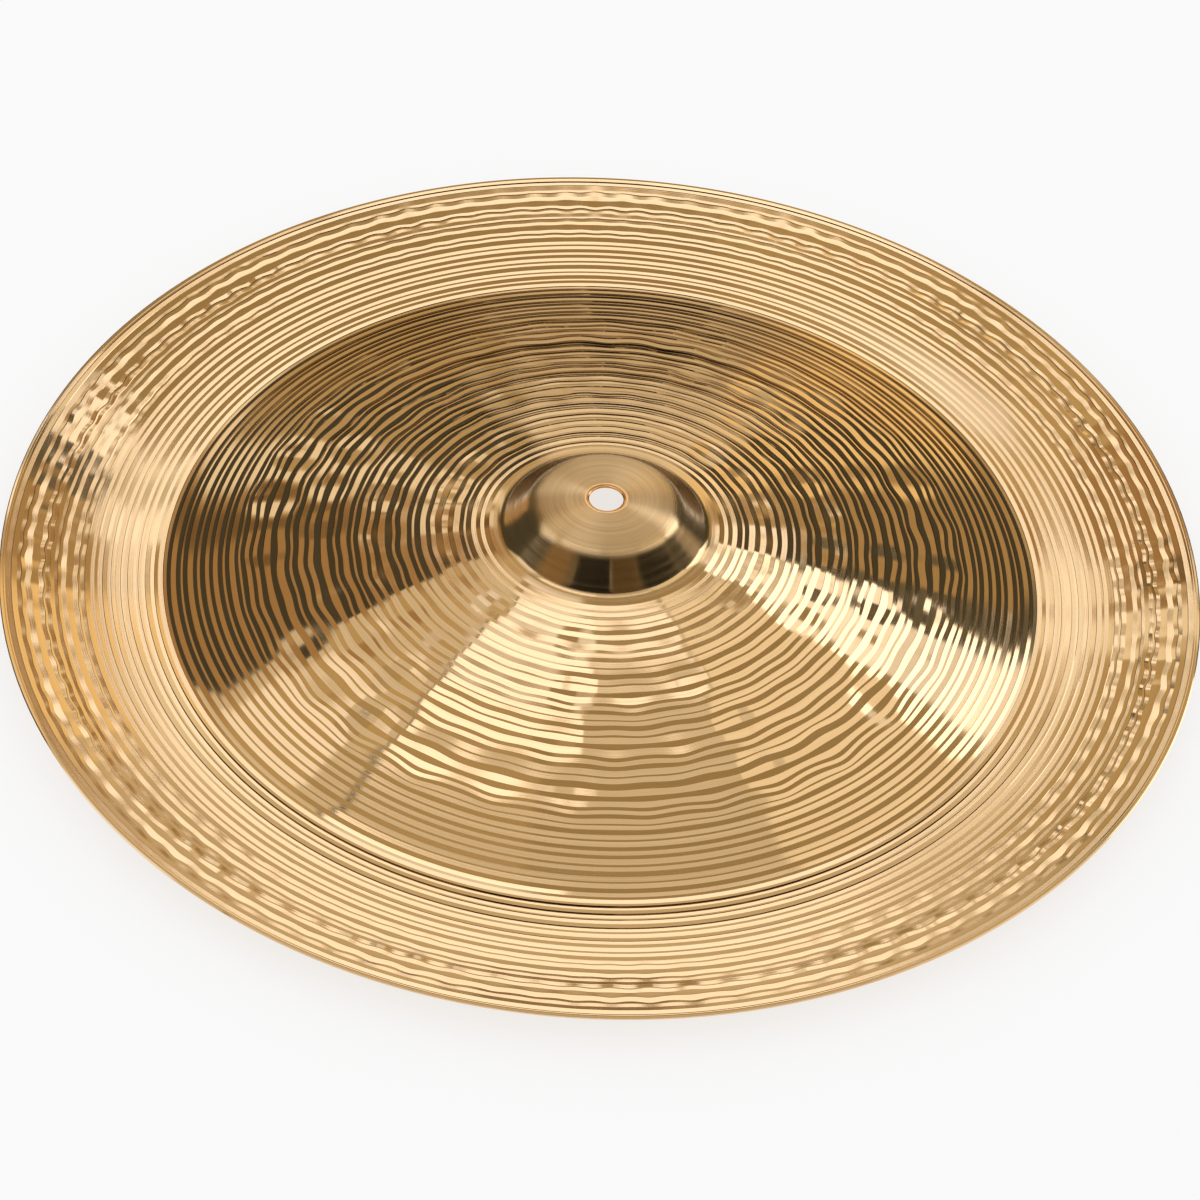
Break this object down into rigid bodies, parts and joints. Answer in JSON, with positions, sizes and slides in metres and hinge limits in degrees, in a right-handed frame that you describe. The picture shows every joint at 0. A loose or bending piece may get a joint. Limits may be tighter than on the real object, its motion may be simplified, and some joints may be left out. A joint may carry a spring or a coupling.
{
  "type": "china cymbal",
  "caption": "Round bronze cymbal with a low bell, a hammered and lathed bow, and a wide flange that turns up at the rim.",
  "frame": {"origin": "on the cymbal's axis, in the plane that the underside of the valley stands on", "axes": "+Z along the axis, out of the top of the bell; X and Y are equal, because the cymbal is round"},
  "size_m": [0.4572, 0.4572, 0.0353],
  "materials": {
    "bronze": "lathed in concentric grooves, hammered in rings, and polished"
  },
  "bodies": {
    "root": {"cymbal": "bronze"}
  },
  "joints": []
}
